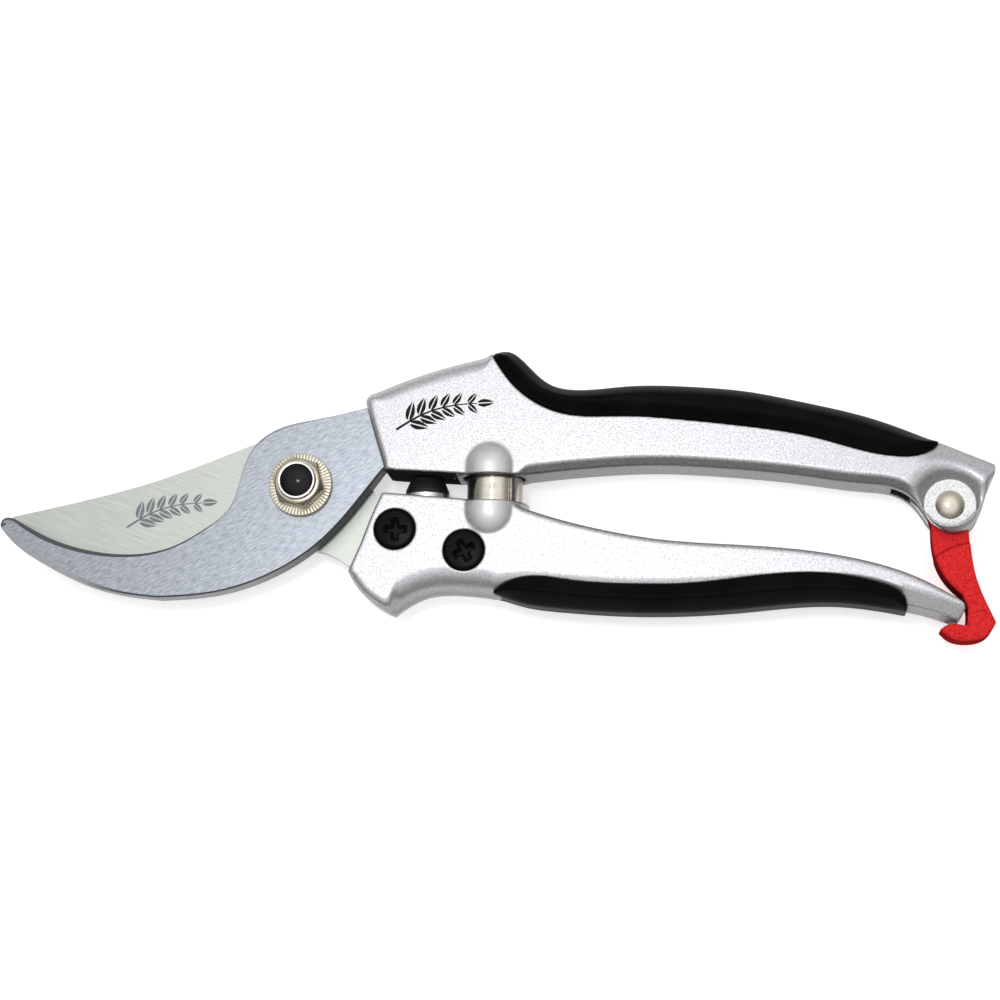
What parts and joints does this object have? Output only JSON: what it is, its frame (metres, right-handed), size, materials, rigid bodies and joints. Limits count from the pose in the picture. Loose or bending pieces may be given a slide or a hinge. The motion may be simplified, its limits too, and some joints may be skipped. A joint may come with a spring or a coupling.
{
  "type": "bypass pruner",
  "caption": "Hand pruner with a curved bypass blade and hooked counter blade on one pivot, a volute spring between cast handles with soft grips, and a swinging end latch",
  "frame": {"origin": "on the pivot's axis, at the rear face of the pivot bolt's head, which is one of the places the tool rests on when laid on its rear side", "axes": "+X from the pivot along the handles to the latch, +Y from the lower handle to the upper handle, +Z along the pivot from the rear side to the front side"},
  "size_m": [0.2095, 0.0615, 0.0191],
  "materials": {
    "handle_paint": "textured silver paint",
    "soft_grip": "satin soft-touch moulding",
    "hook_steel": "ground and brushed",
    "blade_steel": "ground and brushed, slightly warm",
    "black_steel": "black oxide, semi-gloss",
    "plain_steel": "turned",
    "nickel_plate": "bright nickel plate",
    "spring_steel": "bright nickel-plated strip",
    "pale_plastic": "fine-textured",
    "rubber_stop": "matt",
    "latch_red": "textured red powder coat"
  },
  "bodies": {
    "upper": {"upper_handle": "handle_paint", "upper_grip": "soft_grip", "counter_blade": "hook_steel", "upper_tang_screw_1": "black_steel", "upper_tang_screw_2": "black_steel", "pivot_bolt": "black_steel", "thrust_washer": "plain_steel", "serrated_washer": "nickel_plate", "pivot_nut": "nickel_plate", "volute_spring": "spring_steel", "latch_rivet": "nickel_plate", "latch_washer_front": "pale_plastic", "latch_washer_rear": "pale_plastic", "latch_wave_washer": "plain_steel"},
    "lower": {"lower_handle": "handle_paint", "lower_grip": "soft_grip", "cutting_blade": "blade_steel", "lower_tang_screw_1": "black_steel", "lower_tang_screw_2": "black_steel", "stop_bumper": "rubber_stop", "stop_seat": "plain_steel"},
    "latch": {"latch": "latch_red"}
  },
  "joints": [
    {"name": "pivot", "type": "hinge", "parent": "upper", "child": "lower", "pos_m": [0, 0, 0.008], "axis": [0, 0, -1], "range_deg": [0, 30], "deforming": ["volute_spring"]},
    {"name": "latch_pivot", "type": "hinge", "parent": "upper", "child": "latch", "pos_m": [0.1351, -0.0041, 0.008], "axis": [0, 0, 1], "range_deg": [0, 70]}
  ]
}
